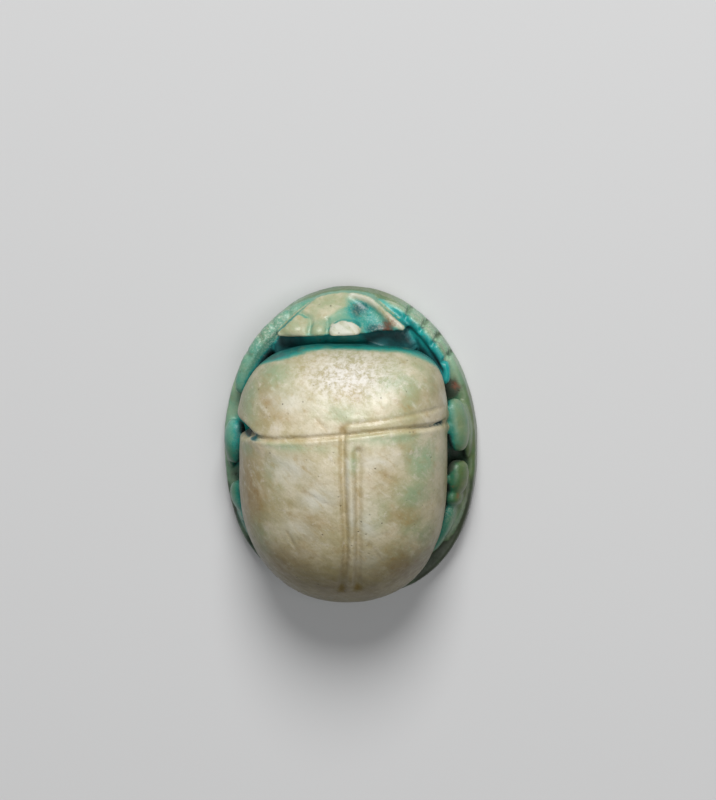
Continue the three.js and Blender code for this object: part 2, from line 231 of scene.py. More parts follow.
# Colours of the glaze, from where it is thinnest, 0, to where it pools, 1; the darkest stops also paint
# shade where crevices push the depth up
GLAZE_DEPTHS = (
    (0.0, (196, 200, 170)),
    (0.2, (148, 176, 146)),
    (0.38, (96, 162, 142)),
    (0.56, (8, 148, 142)),
    (0.76, (0, 92, 94)),
    (1.0, (6, 22, 24)),
)
FROST = (232, 240, 226)
BROWNED_GLAZE = (120, 124, 86)

# Depth of the finish's own unevenness
FINE_RELIEF = 0.04


def smoothstep(value, start, end):
    """0 up to start, 1 from end on, and a smooth curve between; end may be below start."""
    t = np.clip((value - start) / (end - start), 0, 1)
    return t * t * (3 - 2 * t)


def mix(a, b, t):
    return a + (b - a) * t


def oval(x, y, centre, radii, turn=0):
    """Distance from the centre of an oval in plan, 1 on its outline."""
    dx, dy = x - centre[0], y - centre[1]
    c, s = math.cos(turn), math.sin(turn)
    return np.hypot((dx * c + dy * s) / radii[0], (dy * c - dx * s) / radii[1])


# ---------------------------------------------------------------- forms


def superellipse(angle, half_x, half_y, squareness):
    """Points at these angles on an outline that is an ellipse at squareness 2, squarer above it."""
    c, s = np.cos(angle), np.sin(angle)
    reach = (np.abs(c / half_x) ** squareness + np.abs(s / half_y) ** squareness) ** (-1 / squareness)
    return reach * c, reach * s


def rim_curve(c, s, squareness=PLATE_TAIL_SQUARENESS):
    """A point of the plate's plan, from one on the unit circle; its tail half is a little squarer."""
    power = np.where(s < 0, 2 / squareness, 1)
    return np.sign(c) * np.abs(c) ** power, np.sign(s) * np.abs(s) ** power


def rim_inset(x, y):
    """How far a point lies inside the plate's outline, in plan."""
    power = np.where(y < 0, PLATE_TAIL_SQUARENESS, 2)
    share = (np.abs(x * 2 / WIDTH) ** power + np.abs(y * 2 / LENGTH) ** power) ** (1 / power)
    return (1 - share) * np.hypot(x, y) / np.maximum(share, 0.1)


def back_outline(angle):
    right, front = np.cos(angle) > 0, np.sin(angle) > 0
    squareness = np.where(front, np.where(right, SHOULDER_RIGHT, SHOULDER_LEFT), TAIL_SQUARENESS)
    thorax = smoothstep(np.sin(angle), 0.33, 0.5)
    half_x = mix(
        np.where(right, WINGS_REACH_RIGHT, WINGS_REACH_LEFT),
        np.where(right, THORAX_REACH_RIGHT, THORAX_REACH_LEFT),
        thorax,
    )
    half_y = np.where(front, BACK_REACH_FRONT, BACK_REACH_REAR)
    return superellipse(angle, half_x, half_y, squareness)


def back_share(x, y):
    """0 at the centre of the back and 1 on its outline."""
    dy = y - BACK_CENTRE_Y
    return np.hypot(x, dy) / np.hypot(*back_outline(np.arctan2(dy, x)))


def waist_height(y):
    return WAIST - TAIL_DROP * smoothstep(-y, 3.4, 8.2)


def back_height(x, y):
    waist = waist_height(y)
    fall = np.minimum(1, back_share(x, y)) ** BACK_FULLNESS
    return waist + (HEIGHT - waist) * np.sqrt(1 - fall)


def head_height(x, y):
    forward = np.clip((y - HEAD_REAR_Y) / (HEAD_FRONT_Y - HEAD_REAR_Y), 0, 1)
    slope = mix(HEAD_REAR_HEIGHT, HEAD_FRONT_HEIGHT, forward)
    across = ((x - HEAD_X) / HEAD_REAR_REACH_RIGHT) ** 2
    return slope + HEAD_CROWN * np.sin(forward * math.pi) - HEAD_SIDE_DROP * across


def head_relief(x, y):
    """Cheek, bump and flat crown stand up, and the right half is hollowed out."""
    swelling = CHEEK_RISE * smoothstep(oval(x, y, **CHEEK), 1.1, 0.3)
    swelling = swelling + BUMP_RISE * smoothstep(oval(x, y, **BUMP), 1.1, 0.3)
    swelling = swelling + CROWN_RISE * smoothstep(oval(x, y, **CROWN), 1.12, 0.86)
    return swelling - HOLLOW_DEPTH * smoothstep(oval(x, y, **HOLLOW), 1.1, 0.35)


def head_surface(x, y):
    return head_height(x, y) + head_relief(x, y)


def head_outline(angle):
    unit_x, unit_y = superellipse(angle, 1, 1, HEAD_SQUARENESS)
    rear_reach = np.where(unit_x > 0, HEAD_REAR_REACH_RIGHT, HEAD_REAR_REACH_LEFT)
    middle = (rear_reach + HEAD_FRONT_HALF_WIDTH) / 2
    taper = (rear_reach - HEAD_FRONT_HALF_WIDTH) / 2
    x = unit_x * (middle - taper * unit_y)
    y = unit_y * (HEAD_FRONT_Y - HEAD_REAR_Y) / 2 + HEAD_REAR_SLANT * x * (0.5 - unit_y / 2)
    rim_y = LENGTH / 2 * np.sqrt(1 - ((HEAD_X + x) * 2 / WIDTH) ** 2) - HEAD_RIM_INSET
    return x, np.minimum(y, rim_y - (HEAD_REAR_Y + HEAD_FRONT_Y) / 2)


def shaped(bm, place):
    """Moves every vertex of a bmesh to place(x, y, z), given and returned as columns."""
    co = np.array([v.co for v in bm.verts])
    moved = np.column_stack(np.broadcast_arrays(*place(*co.T)))
    for vertex, point in zip(bm.verts, moved):
        vertex.co = point
    return bm


def ball(spokes, rings):
    bm = bmesh.new()
    bmesh.ops.create_uvsphere(bm, u_segments=spokes, v_segments=rings, radius=1)
    return bm


def notched(x, y, z):
    """Cuts the wedge-shaped notches into the sides of the back."""
    for cut in NOTCHES:
        reach = smoothstep(x * cut["side"], cut["start"], cut["start"] + 1.3)
        half = np.maximum(cut["width"] / 2 * reach, 1e-3)
        inward = cut["depth"] * reach * np.clip(1 - np.abs(y - cut["y"]) / half, 0, 1)
        across, up = x, z - WAIST
        pull = inward / np.maximum(np.hypot(across, up), 1)
        x, z = x - across * pull, z - up * pull
    return x, y, z


def back():
    def place(x, y, z):
        share = np.minimum(1, np.hypot(x, y))
        out_x, out_y = back_outline(np.arctan2(y, x))
        at_x, at_y = share * out_x, BACK_CENTRE_Y + share * out_y
        under = waist_height(at_y) - UNDERCUT * np.sqrt(1 - share**2)
        return notched(at_x, at_y, np.where(z > -1e-6, back_height(at_x, at_y), under))

    return shaped(ball(320, 140), place)


def block(centre, outline, top, edge, spokes=120, rings=60):
    """A closed block with flat sides that rises out of the base plate, its plan given by
    outline(angle) about centre and its upper surface by top(x, y), with the upper edge rounded."""

    def place(x, y, z):
        share = np.sqrt(np.minimum(1, np.hypot(x, y)))
        out_x, out_y = outline(np.arctan2(y, x))
        at_x, at_y = centre[0] + share * out_x, centre[1] + share * out_y
        inward = np.clip((1 - share) * np.hypot(out_x, out_y) / edge, 0, 1)
        rounding = edge * (1 - np.sqrt(1 - (1 - inward) ** 2))
        return at_x, at_y, np.where(z > -1e-6, top(at_x, at_y) - rounding, BURIED_FLOOR)

    return shaped(ball(spokes, rings), place)


def base_plate():
    bm = bmesh.new()
    bmesh.ops.create_circle(bm, cap_ends=True, radius=1, segments=200)
    shaped(bm, lambda x, y, z: (*rim_curve(x, y), z))
    grown = bmesh.ops.extrude_face_region(bm, geom=bm.faces[:])
    top = [v for v in grown["geom"] if isinstance(v, bmesh.types.BMVert)]
    bmesh.ops.translate(bm, verts=top, vec=(0, 0, PLATE_HEIGHT))
    bmesh.ops.scale(bm, verts=bm.verts, vec=(WIDTH / 2, LENGTH / 2, 1))
    rims = [e for e in bm.edges if abs(e.verts[0].co.z - e.verts[1].co.z) < 1e-6]
    bmesh.ops.bevel(
        bm, geom=rims, offset=PLATE_ROUNDING, segments=4, affect="EDGES", profile=0.5, material=-1
    )
    bmesh.ops.recalc_face_normals(bm, faces=bm.faces)
    return bm


def core():
    def outline(angle):
        return superellipse(angle, WIDTH / 2 - CORE_INSET, CORE_HALF_LENGTH, CORE_SQUARENESS)

    return block((0, CORE_CENTRE_Y), outline, lambda x, y: WAIST + 0.5, edge=0.05)


def neck():
    def outline(angle):
        return superellipse(angle, NECK_HALF_WIDTH, NECK_HALF_LENGTH, NECK_SQUARENESS)

    return block((HEAD_X, NECK_CENTRE_Y), outline, lambda x, y: NECK_HEIGHT, edge=0.1)


def head():
    centre = (HEAD_X, (HEAD_REAR_Y + HEAD_FRONT_Y) / 2)
    return block(centre, head_outline, head_surface, edge=0.16, spokes=240, rings=90)


def rim_point(side, angle, inset):
    """A point of the plan at this angle, inset from the plate's rim."""
    x, y = rim_curve(np.cos(angle), np.sin(angle), LEG_RUN_SQUARENESS)
    return side * (WIDTH / 2 - inset) * x, (LENGTH / 2 - inset) * y


def leg_segment(side, degrees, inset, height, half, taper, lean):
    """A ball drawn out along the rim."""

    def path(t):
        angle = np.radians(mix(*degrees, t))
        return rim_point(side, angle, mix(*inset, t))

    def place(x, y, z):
        t = 0.5 + z / 2
        ring = np.minimum(1, np.hypot(x, y)) ** LEG_BLUNTNESS
        turn = np.arctan2(y, x)
        (x0, y0), (x1, y1) = path(t - 0.01), path(t + 0.01)
        stride = np.hypot(x1 - x0, y1 - y0)
        out_x, out_y = -(y1 - y0) / stride, (x1 - x0) / stride
        size = ring * (1 - taper * t)
        across = size * np.cos(turn) * half[0]
        rise = size * np.sin(turn) * half[1] + lean * across * np.sign(out_x * side)
        here_x, here_y = path(t)
        return here_x + across * out_x, here_y + across * out_y, mix(*height, t) + rise

    return shaped(ball(32, 48), place)


def legs(segments):
    made = []
    for segment in segments:
        for name, side in (("left", -1), ("right", 1)):
            shape = {key: value for key, value in segment.items() if key not in ("left", "right")}
            if name in segment:
                made.append(leg_segment(side, segment[name], **shape))
    return made


# ---------------------------------------------------------------- one skin over the forms


def joined(forms):
    """One mesh in millimetres from closed bmeshes, given by name, and the name of each face's form."""
    bm = bmesh.new()
    names = []
    for name, part in forms:
        piece = bpy.data.meshes.new(name)
        bmesh.ops.recalc_face_normals(part, faces=part.faces)
        names += [name] * len(part.faces)
        part.to_mesh(piece)
        part.free()
        bm.from_mesh(piece)
        bpy.data.meshes.remove(piece)
    whole = bpy.data.meshes.new("forms")
    bm.to_mesh(whole)
    nearest = BVHTree.FromBMesh(bm)
    bm.free()
    return whole, nearest, np.array(names)


def fused(mesh):
    """The mesh's forms under one closed skin of even, fine faces."""
    rough = bpy.data.objects.new("forms", mesh)
    bpy.context.scene.collection.objects.link(rough)
    fuse = rough.modifiers.new("fuse", "REMESH")
    fuse.mode = "VOXEL"
    fuse.voxel_size = VOXEL
    bpy.context.view_layer.update()
    skin = bpy.data.meshes.new_from_object(rough.evaluated_get(bpy.context.evaluated_depsgraph_get()))
    bpy.data.objects.remove(rough)
    return skin


def softened(mesh, times):
    """Takes the steps of the voxels off the mesh, and lays its underside flat again."""
    bm = bmesh.new()
    bm.from_mesh(mesh)
    for _ in range(times):
        bmesh.ops.smooth_vert(
            bm, verts=bm.verts, factor=0.5, use_axis_x=True, use_axis_y=True, use_axis_z=True
        )
    for vertex in bm.verts:
        if vertex.co.z < 0.06:
            vertex.co.z = 0
    bm.to_mesh(mesh)
    bm.free()


def columns(mesh, what):
    """The mesh's vertex positions or normals as an array of rows."""
    flat = np.empty(3 * len(mesh.vertices))
    if what == "co":
        mesh.vertices.foreach_get("co", flat)
    else:
        mesh.vertex_normals.foreach_get("vector", flat)
    return flat.reshape(-1, 3)


def moved(mesh, co):
    mesh.vertices.foreach_set("co", co.ravel())
    mesh.update()


def form_of(co, nearest, names):
    """The name of the form whose surface is nearest to each vertex."""
    return names[[nearest.find_nearest(point)[2] for point in co]]


# ---------------------------------------------------------------- carving


def dense(points, step=0.1):
    """A smooth line through these points, with a point about every step."""
    points = np.array(points, float)
    run = np.concatenate(([0], np.cumsum(np.hypot(*np.diff(points, axis=0).T))))
    at = np.linspace(0, run[-1], max(2, int(run[-1] / step)))
    slopes = np.gradient(points, run, axis=0, edge_order=1)
    i = np.clip(np.searchsorted(run, at, side="right") - 1, 0, len(run) - 2)
    gap = (run[i + 1] - run[i])[:, None]
    t = (at - run[i])[:, None] / gap
    a, b = points[i], points[i + 1]
    rise = (1 - t) ** 2 * t * gap * slopes[i] - (1 - t) * t**2 * gap * slopes[i + 1]
    return a * (1 + 2 * t) * (1 - t) ** 2 + b * (3 - 2 * t) * t**2 + rise


def over(height, points):
    """A line given in plan, laid on the surface of this height."""
    line = dense(points)
    return np.column_stack((line, height(*line.T)))


def near(co, line):
    """Each vertex's distance from a line and how far along it, from 0 to 1, its nearest point is."""
    best = np.full(len(co), np.inf)
    along = np.zeros(len(co))
    for i in range(len(line) - 1):
        a, d = line[i], line[i + 1] - line[i]
        t = np.clip((co - a) @ d / (d @ d), 0, 1)
        gap = np.linalg.norm(co - a - t[:, None] * d, axis=1)
        closer = gap < best
        best[closer] = gap[closer]
        along[closer] = (i + t[closer]) / (len(line) - 1)
    return best, along


def wobble(co, size, seed):
    """Smooth noise from -1 to 1 whose lumps are about this size."""
    shift = Vector((seed * 7.3, seed * 3.1, seed * 5.7))
    return np.array([noise.noise(Vector(point) / size + shift) for point in co])


def beside(co, height, line, width):
    """1 on a line laid on this surface, fading out beside it, and how far along each vertex is."""
    gap, t = near(co, over(height, line))
    return np.exp(-((gap / width) ** 2)), t


def ends(t, start, end):
    """Fades a line in over its first part and out over its last."""
    return smoothstep(t, 0, start) * smoothstep(t, 1, 1 - end)


def tooth_gaps(x, y, sharpness):
    """For each gap between the teeth, 1 in its middle, fading out along the rim."""
    turn = np.degrees(np.arctan2(y / LENGTH, np.abs(x) / WIDTH))
    arcs = [np.abs(turn - degrees) * math.radians(1) * LENGTH / 2 for degrees in TOOTH_DEGREES]
    return [np.exp(-((arc / TOOTH_GAP * sharpness) ** 2)) for arc in arcs]


def back_lines(co, x, y):
    """How far the lines and scratches of the back lift its surface, or lower it."""
    gap, t = near(co, over(back_height, DIVIDE_LINE))
    uneven = 1 + 0.35 * wobble(co, 0.8, 1)
    depth = 0.13 + 0.13 * smoothstep(np.abs(x), 3.4, 4.6)
    lift = -depth * uneven * np.exp(-((gap / 0.11) ** 2)) * smoothstep(t, 0.02, 0.1)
    below = y < np.interp(x, *np.array(DIVIDE_LINE).T)
    lip = np.exp(-(((gap - 0.26) / 0.1) ** 2)) * below
    lift += 0.03 * lip * smoothstep(x, -4.6, -3.6) * smoothstep(x, 5, 4)

    close, t = beside(co, back_height, BORDER_LINE, 0.1)
    lift -= 0.06 * close * ends(t, 0.02, 0.1)
    band = smoothstep(y, 1.95, 2.1) * smoothstep(y, 2.75, 2.45) * smoothstep(x, 0.4, 0.6)
    lift += 0.015 * band

    for line, depth, width, flare in ((SUTURE_LEFT, 0.2, 0.14, 0), (SUTURE_RIGHT, 0.18, 0.15, 0.7)):
        gap, t = near(co, over(back_height, line))
        wide = width * (1 + 0.5 * smoothstep(t, 0.75, 1) + flare * smoothstep(t, 0.3, 0))
        lift -= depth * np.exp(-((gap / wide) ** 2)) * ends(t, 0.05, 0.06)
    close, t = beside(co, back_height, SUTURE_RIDGE, 0.14)
    lift += 0.07 * close * ends(t, 0.15, 0.1)

    for line in SCRATCHES:
        close, t = beside(co, back_height, line, 0.06)
        lift -= 0.035 * close * ends(t, 0.3, 0.4)
    worn = np.exp(-(oval(x, y, *WORN_PATCH) ** 2))
    return lift - worn * 0.05 * smoothstep(wobble(co, 0.28, 5), 0.15, 0.6)


def head_lines(co, normal):
    """The lines round the cheek and the crown, and the ridge beside the hollow."""
    lift = np.zeros(len(co))
    for line, depth, width in ((CHEEK_LINE, 0.13, 0.1), (CROWN_LINE, 0.1, 0.09)):
        lift -= depth * beside(co, head_surface, line, width)[0]
    return lift + 0.1 * beside(co, head_surface, HEAD_RIDGE, 0.16)[0] * (normal[:, 2] > 0.3)


def carve(co, normal, form):
    """Cuts the lines and the gaps between the teeth, and gives the surface its unevenness."""
    x, y, z = co.T
    lift = (form == "back") * back_lines(co, x, y)
    lift += (form == "head") * head_lines(co, normal)

    shin = form == "front_shin"
    inset = rim_inset(x, y)
    right = smoothstep(x, -1, 1)
    valley = smoothstep(inset, mix(0.45, 0.3, right), 0.7) * smoothstep(y, 3.5, 4.5)
    lift -= shin * valley * mix(0.06, 0.26, right) * smoothstep(normal[:, 2], 0.1, 0.4)
    lift += shin * 0.1 * right * smoothstep(inset, 0.35, 0.1) * smoothstep(z, 1.2, 1.6)
    toothed = shin | ((form == "plate") & (z > 0.6))
    for gap in tooth_gaps(x, y, 2):
        lift -= toothed * TOOTH_DEPTH * gap * smoothstep(inset, 0.5, 0.15) * mix(0.35, 1, right)

    lift += 0.035 * wobble(co, 1.7, 2) + 0.014 * wobble(co, 0.6, 3) + 0.007 * wobble(co, 0.25, 4)
    return co + normal * (lift * (z > 0.02))[:, None]


# ---------------------------------------------------------------- where the glaze and wear lie


def recess(mesh, co, normal, reach=2.2, rays=40):
    """How shut in each vertex is, from 0 in the open to 1 deep in a crevice."""
    tree = BVHTree.FromPolygons(co.tolist(), [tuple(p.vertices) for p in mesh.polygons])
    steps = np.arange(rays) + 0.5
    tilt = np.arccos(1 - 2 * steps / rays)
    swing = steps * math.pi * (1 + math.sqrt(5))
    compass = np.column_stack((np.sin(tilt) * np.cos(swing), np.sin(tilt) * np.sin(swing), np.cos(tilt)))
    facing = normal @ compass.T
    shut = np.zeros(len(co))
    total = np.zeros(len(co))
    starts = co + normal * 0.05
    points = [Vector(start) for start in starts]
    for j, direction in enumerate(compass):
        ray = Vector(direction)
        for i in np.flatnonzero(facing[:, j] > 0.15):
            if tree.ray_cast(points[i], ray, reach)[0] is not None:
                shut[i] += facing[i, j]
        total += np.where(facing[:, j] > 0.15, facing[:, j], 0)
    return shut / np.maximum(total, 1e-6)


def spread(mesh, values, times):
    """Evens out a value per vertex over the mesh."""
    edges = np.empty(2 * len(mesh.edges), int)
    mesh.edges.foreach_get("vertices", edges)
    a, b = edges.reshape(-1, 2).T
    count = np.bincount(edges, minlength=len(values))
    for _ in range(times):
        total = np.bincount(a, values[b], len(values)) + np.bincount(b, values[a], len(values))
        values = (values + total / count) / 2
    return values


def spots(x, y, places):
    """The strongest of some soft oval patches, each given by centre, radii and amount."""
    value = np.zeros(len(x))
    for centre, radii, amount in places:
        value = np.maximum(value, amount * np.exp(-(oval(x, y, centre, radii) ** 2)))
    return value


def around(co, centre, radius):
    """1 at a place, fading out around it."""
    away = np.linalg.norm(co - centre, axis=1) / radius
    return np.exp(-(away**2))


class Skin:
    """The carved skin point by point: its place, its form, and how it lies on the amulet."""

    def __init__(self, co, normal, form, shut):
        self.co = co
        self.x, self.y, self.z = x, y, z = co.T
        self.shut = shut
        self.right = smoothstep(x, -1, 1)
        self.inset = rim_inset(x, y)

        self.back = form == "back"
        self.head = form == "head"
        self.shin = form == "front_shin"
        self.leg = form == "leg"
        self.plate = form == "plate"
        self.core = form == "core"
        self.inner = self.core | (form == "neck")
        self.head_top = self.head & (normal[:, 2] > 0.35)
        self.front_rim = self.plate & (y > 4.2) & (self.inset < 0.5)
        trench = smoothstep(y, 4.4, 5.2) * smoothstep(y, 6.3, 6.0) * smoothstep(np.abs(x), 4.4, 3.6)
        self.in_trench = (trench > 0.5) & (z < 3.3) & ~self.back & ~self.shin

        self.crest = smoothstep(self.inset, mix(1.1, 0.22, self.right), mix(0.7, 0.02, self.right))
        self.hollow = smoothstep(oval(x, y, **HOLLOW), 1.35, 0.6)
        self.crown = smoothstep(oval(x, y, **CROWN), 1.08, 0.95) * self.head_top
        self.ridge = beside(co, head_surface, HEAD_RIDGE, 0.22)[0]


def back_glaze(skin):
    """Bare stone down to the widest line and to the brow over the neck, with glaze in the ends of the
    groove across the back, drawn near black as painted shade where its notches are shut in."""
    x, y, z = skin.x, skin.y, skin.z
    front = smoothstep(y, 4.0, 5.3)
    brow = mix(2.9, 3.95 + 0.75 * smoothstep(x, -0.8, -3.6), front)
    cover = smoothstep(z, brow + 0.45, brow - 0.3)
    deep = 0.38 + 0.34 * smoothstep(z, brow + 0.2, brow - 0.6)

    gap, _ = near(skin.co, over(back_height, DIVIDE_LINE))
    left_end = smoothstep(x, -3.0, -4.5)
    right_end = smoothstep(x, 1.2, 5.0)
    broken = smoothstep(wobble(skin.co, 0.45, 8), -0.15, 0.25)
    filled = np.maximum(left_end, 0.9 * right_end * broken)
    pool = np.exp(-((gap / mix(0.14, 0.28, left_end)) ** 2)) * filled
    # Painted shade: where the recess measure finds the notches at the groove's mouths shut in, the glaze is
    # drawn deep
    mouth = smoothstep(np.abs(x), 4.3, 4.9) * (z > WAIST - 0.3)
    pool = np.maximum(pool, smoothstep(skin.shut, 0.2, 0.38) * mouth * (np.abs(y - 1.5) < 1))
    cover = np.maximum(cover, smoothstep(pool, 0.25, 0.75))
    deep = np.where(z > brow + 0.3, 0.4 + 0.6 * pool, deep)

    # Painted shade in the left notch, near black where it is shut in
    wedge = (x < -4.3) & (np.abs(y - 1.55) < 0.5)
    return cover, np.where(wedge, np.maximum(deep, 0.6 + 0.4 * smoothstep(skin.shut, 0.1, 0.3)), deep)


def head_glaze(skin):
    """Thin on the left of the head, deeper in its hollow and its lines."""
    x, y = skin.x, skin.y
    above = smoothstep(oval(x, y, (-0.05, 7.0), (1.15, 0.42), 0.35), 1.3, 0.6)
    rear = smoothstep(oval(x, y, (2.0, 6.3), (1.25, 0.32)), 1.3, 0.6)
    lines = [beside(skin.co, head_surface, line, 0.2)[0] for line in (CHEEK_LINE, CROWN_LINE)]
    lines = np.maximum(*lines)
    cover = np.maximum.reduce((skin.hollow, rear, 0.85 * above, 0.8 * lines))
    cover = cover * (1 - skin.crown) * (1 - skin.ridge)
    cover = np.maximum(cover, 0.45 * smoothstep(oval(x, y, **BUMP), 1.4, 0.8))
    mottle = 0.07 * wobble(skin.co, 0.3, 9) + 0.1 * wobble(skin.co, 0.7, 10)
    deep = 0.16 + 0.22 * above * smoothstep(x, -1.2, 0) + 0.34 * skin.hollow + 0.26 * rear + 0.12 * lines
    return cover, deep + mottle * np.maximum(skin.hollow, 0.6 * above)


def glaze(skin):
    """Where the glaze covers and how deep it lies: pale along the crests of the legs, and deep on
    their inner sides, in crevices and in the trench behind the head. The extra depth in crevices
    and the near-black ends of the trench are painted shade."""
    x, y, right = skin.x, skin.y, skin.right
    cover, deep = back_glaze(skin)
    cover = np.where(skin.back, cover, 1)
    deep = np.where(skin.back, deep, 0)
    head_cover, head_deep = head_glaze(skin)
    cover = np.where(skin.head_top, head_cover, cover)
    deep = np.where(skin.head, 0.3 + 0.4 * smoothstep(y, 7.4, 6.4), deep)
    deep = np.where(skin.head_top, head_deep, deep)

    deep = np.where(skin.shin, mix(0.6, mix(0.34, 0.2, right), skin.crest), deep)
    outer = smoothstep(skin.inset, 1.0, 0.5)
    deep = np.where(skin.leg, mix(0.5, 0.24, outer) + 0.14 * (1 - right), deep)
    deep = np.where(skin.plate, 0.26, deep)
    deep = np.where(skin.inner, 0.7, deep)
    # Painted shade: the glaze is drawn deeper where the recess measure finds a point shut in
    shaded = np.where(skin.inner, 0.14, 0.4) * smoothstep(skin.shut, 0.45, 0.95)
    deep = deep + np.where(skin.back | skin.head_top, 0, shaded)
    # Painted shade: the glaze in the trench behind the head turns near black towards its ends
    trench_end_shade = np.maximum(smoothstep(x, -1.6, -3.0), smoothstep(x, 0.3, 1.4))
    deep = np.where(skin.in_trench, mix(0.56, 0.84, trench_end_shade) + 0.1 * wobble(skin.co, 0.4, 11), deep)
    return cover, deep + 0.07 * wobble(skin.co, 1.1, 6)


def frosting(skin):
    """Pale flecks on the crests of the front shins, in the head's hollow and on the legs, and a painted
    highlight of them on the right hind foot.
    """
    by_head = around(skin.co, *FROST_BY_HEAD)
    left = 0.15 + 0.85 * by_head
    frost = (skin.shin | skin.front_rim) * skin.crest
    frost = frost * mix(left, 0.55 * smoothstep(skin.y, 3.2, 5.6), skin.right)
    frost = np.maximum(frost, 0.26 * skin.head_top * skin.hollow)
    # The right hind foot's pale spot is a painted highlight
    return np.maximum(frost, skin.leg * (0.1 + 0.6 * around(skin.co, *PAINTED_HIGHLIGHT_ON_FOOT)))


def dark_dirt_and_shade(skin):
    """Darker along the rear of the rim, grime and painted shade both, with painted shade under the right
    shoulder and between the right legs, and darker in the gaps between the teeth.
    """
    x, y, right = skin.x, skin.y, skin.right
    # Darker towards the tail, most on the plate: partly grime, partly painted shade
    dirt_and_shade = smoothstep(y, 0.5, -3.6) * mix(0.82, 1.1, right) + 0.3 * wobble(skin.co, 0.8, 12)
    rim_share = mix(0.55, 1, smoothstep(np.abs(x), 1.5, 5))
    dirt_and_shade = np.clip(dirt_and_shade, 0, 1) * np.where(skin.plate, rim_share, 0.2 * skin.leg)
    # Painted shadow in the gap under the right shoulder
    hole = 2.2 * around(skin.co, *PAINTED_SHADOW_UNDER_SHOULDER) * (0.8 + 0.5 * wobble(skin.co, 0.35, 15))
    dirt_and_shade = np.maximum(dirt_and_shade, ~skin.back * ~skin.head_top * hole)
    # Painted shade in the slot between the right middle and hind legs, where the recess measure finds it
    # shut in
    slot = (skin.leg | skin.plate | skin.core) & (x > 0) & (np.abs(y + 0.55) < 0.45)
    dirt_and_shade = np.maximum(dirt_and_shade, 0.8 * slot * smoothstep(skin.shut, 0.2, 0.5))
    # Darker in the gaps between the teeth
    for gap in tooth_gaps(x, y, 1.7):
        darker_in_tooth_gap = gap * smoothstep(skin.inset, 0.4, 0.1) * mix(0.4, 0.9, right)
        dirt_and_shade = np.maximum(dirt_and_shade, darker_in_tooth_gap * (skin.shin | skin.plate))
    return dirt_and_shade


def tan_tint(skin):
    """Tan in patches, and settled in the lines and scratches of the back."""
    tan = spots(skin.x, skin.y, TAN_PATCHES)
    across = ((DIVIDE_LINE, 0.14, 0.7), (BORDER_LINE, 0.1, 0.6))
    along = ((SUTURE_LEFT, 0.17, 1), (SUTURE_RIGHT, 0.17, 0.9))
    for line, width, amount in across + along:
        close, t = beside(skin.co, back_height, line, width)
        tan = np.maximum(tan, skin.back * amount * close * ends(t, 0.02, 0.02))
    for line in SCRATCHES:
        close, t = beside(skin.co, back_height, line, 0.1)
        tan = np.maximum(tan, skin.back * 0.7 * close * ends(t, 0.2, 0.3))
    return tan


def chalkiness(skin):
    """Rubbed pale: the crown, the ridge of the head, the right shoulder and patches of the back."""
    ridge = skin.head_top * skin.ridge * (0.75 + 0.4 * wobble(skin.co, 0.35, 14))
    chalk = np.maximum(0.85 * skin.crown, ridge)
    chalk = np.maximum(chalk, 0.8 * skin.back * around(skin.co, *CHALK_ON_SHOULDER))
    return np.maximum(chalk, 0.7 * skin.back * spots(skin.x, skin.y, CHALK_PATCHES))


def soiling_and_shade(skin):
    """An olive tint, partly grime and partly painted shade, darker towards the tail and the sides, and on
    the legs and the rim of the right side.
    """
    x, y, right = skin.x, skin.y, skin.right
    # Painted shade in part: the back darkens towards the tail and towards the edge of the dome
    soil_and_shade = 0.25 * smoothstep(y, 0.8, -2.0) + 0.75 * smoothstep(y, -3.0, -8.0) + 0.45 * back_share(x, y) ** 5
    soil_and_shade = np.where(skin.back, soil_and_shade, 0.36 + 0.12 * wobble(skin.co, 0.9, 13))
    on_shin = 0.34 + 0.45 * right * smoothstep(y, 6.4, 4.6)
    soil_and_shade = np.where(skin.shin, skin.crest * on_shin, soil_and_shade)
    soil_and_shade = np.where(skin.head, mix(0.34 * smoothstep(y, 6.25, 6.4), 0.3, skin.head_top), soil_and_shade)
    soil_and_shade = np.where(skin.front_rim, soil_and_shade + 0.55 * smoothstep(np.abs(x), 3.5, 1.5), soil_and_shade)
    darker_on_right = mix(-0.05, np.where(skin.plate, 0.58, 0.34), right)
    soil_and_shade = np.where(skin.plate | skin.leg, soil_and_shade + darker_on_right * smoothstep(y, 4.5, 2.0), soil_and_shade)
    thighs = smoothstep(y, 0.5, -0.5) * smoothstep(y, -3.2, -2.2)
    soil_and_shade = np.where(skin.leg, soil_and_shade + 0.45 * thighs, soil_and_shade)
    return np.where(skin.in_trench, 0, soil_and_shade)


def glaze_and_wear(co, normal, form, shut):
    """What the finish reads at each point of the skin, each value from 0 to 1."""
    skin = Skin(co, normal, form, shut)
    cover, deep = glaze(skin)
    rust = np.maximum.reduce([around(co, *stain) for stain in STAINS])
    values = {
        "cover": cover,
        "deep": deep,
        "frost": frosting(skin),
        "stain": rust,
        "dirt_and_shade": dark_dirt_and_shade(skin),
        "tan": tan_tint(skin),
        "green": np.where(skin.head, 0.62, spots(skin.x, skin.y, GREEN_PATCHES)),
        "worn": np.exp(-(oval(skin.x, skin.y, *WORN_PATCH) ** 2)) * skin.back,
        "chalk": chalkiness(skin),
        "soil_and_shade": soiling_and_shade(skin),
        "nook": shut,
    }
    return {name: np.clip(value, 0, 1) for name, value in values.items()}


# ---------------------------------------------------------------- finish


def paint(colour):
    """A colour given as 0 to 255 on a screen, as the shader wants it."""
    values = (np.array(colour) / 255) ** 2.2
    return (*values, 1)


